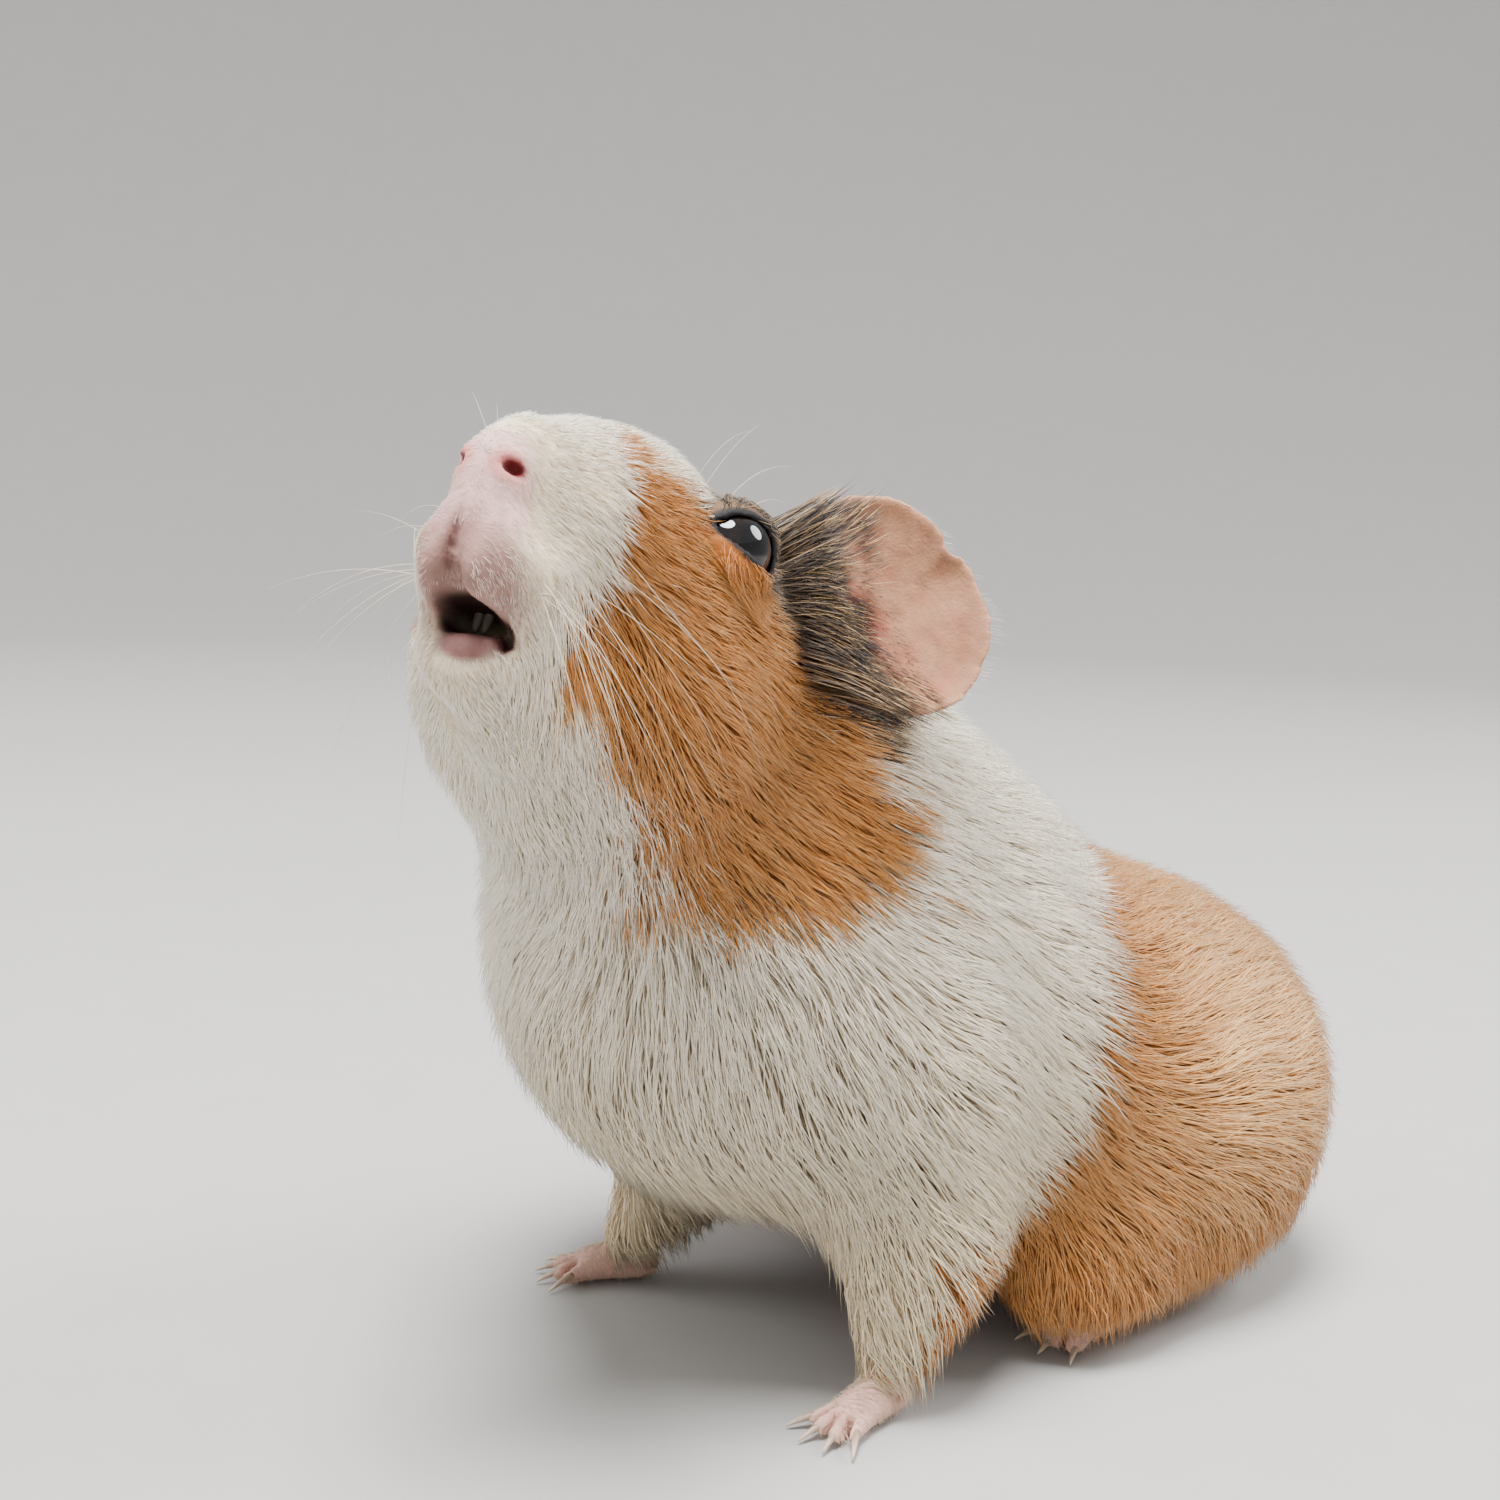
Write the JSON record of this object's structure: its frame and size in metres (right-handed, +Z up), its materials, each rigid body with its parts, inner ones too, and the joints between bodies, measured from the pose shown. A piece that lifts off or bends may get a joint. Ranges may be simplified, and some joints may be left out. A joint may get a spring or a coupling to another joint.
{
  "type": "guinea pig",
  "caption": "Life-size still model of a short-coated guinea pig propped on its forelegs, nose raised and head turned to its left, for museum cases and set dressing.",
  "frame": {"origin": "on the floor, under the middle of the animal's bounding box", "axes": "+Z up, the animal faces -Y and its left side is +X"},
  "size_m": [0.0966, 0.1952, 0.1436],
  "materials": {
    "coat_white": "short white hair",
    "coat_ginger": "short ginger hair",
    "skin": "bare thin skin",
    "eye": "wet and glossy"
  },
  "bodies": {
    "root": {"muzzle": "coat_white", "head": "coat_white", "eye_left": "eye", "eye_right": "eye", "ear_left": "skin", "ear_right": "skin", "neck": "coat_white", "trunk": "coat_ginger", "foreleg_left": "coat_white", "forefoot_left": "skin", "foreleg_right": "coat_white", "forefoot_right": "skin", "hindleg_left": "coat_ginger", "hindfoot_left": "skin", "hindleg_right": "coat_ginger", "hindfoot_right": "skin"}
  },
  "joints": []
}
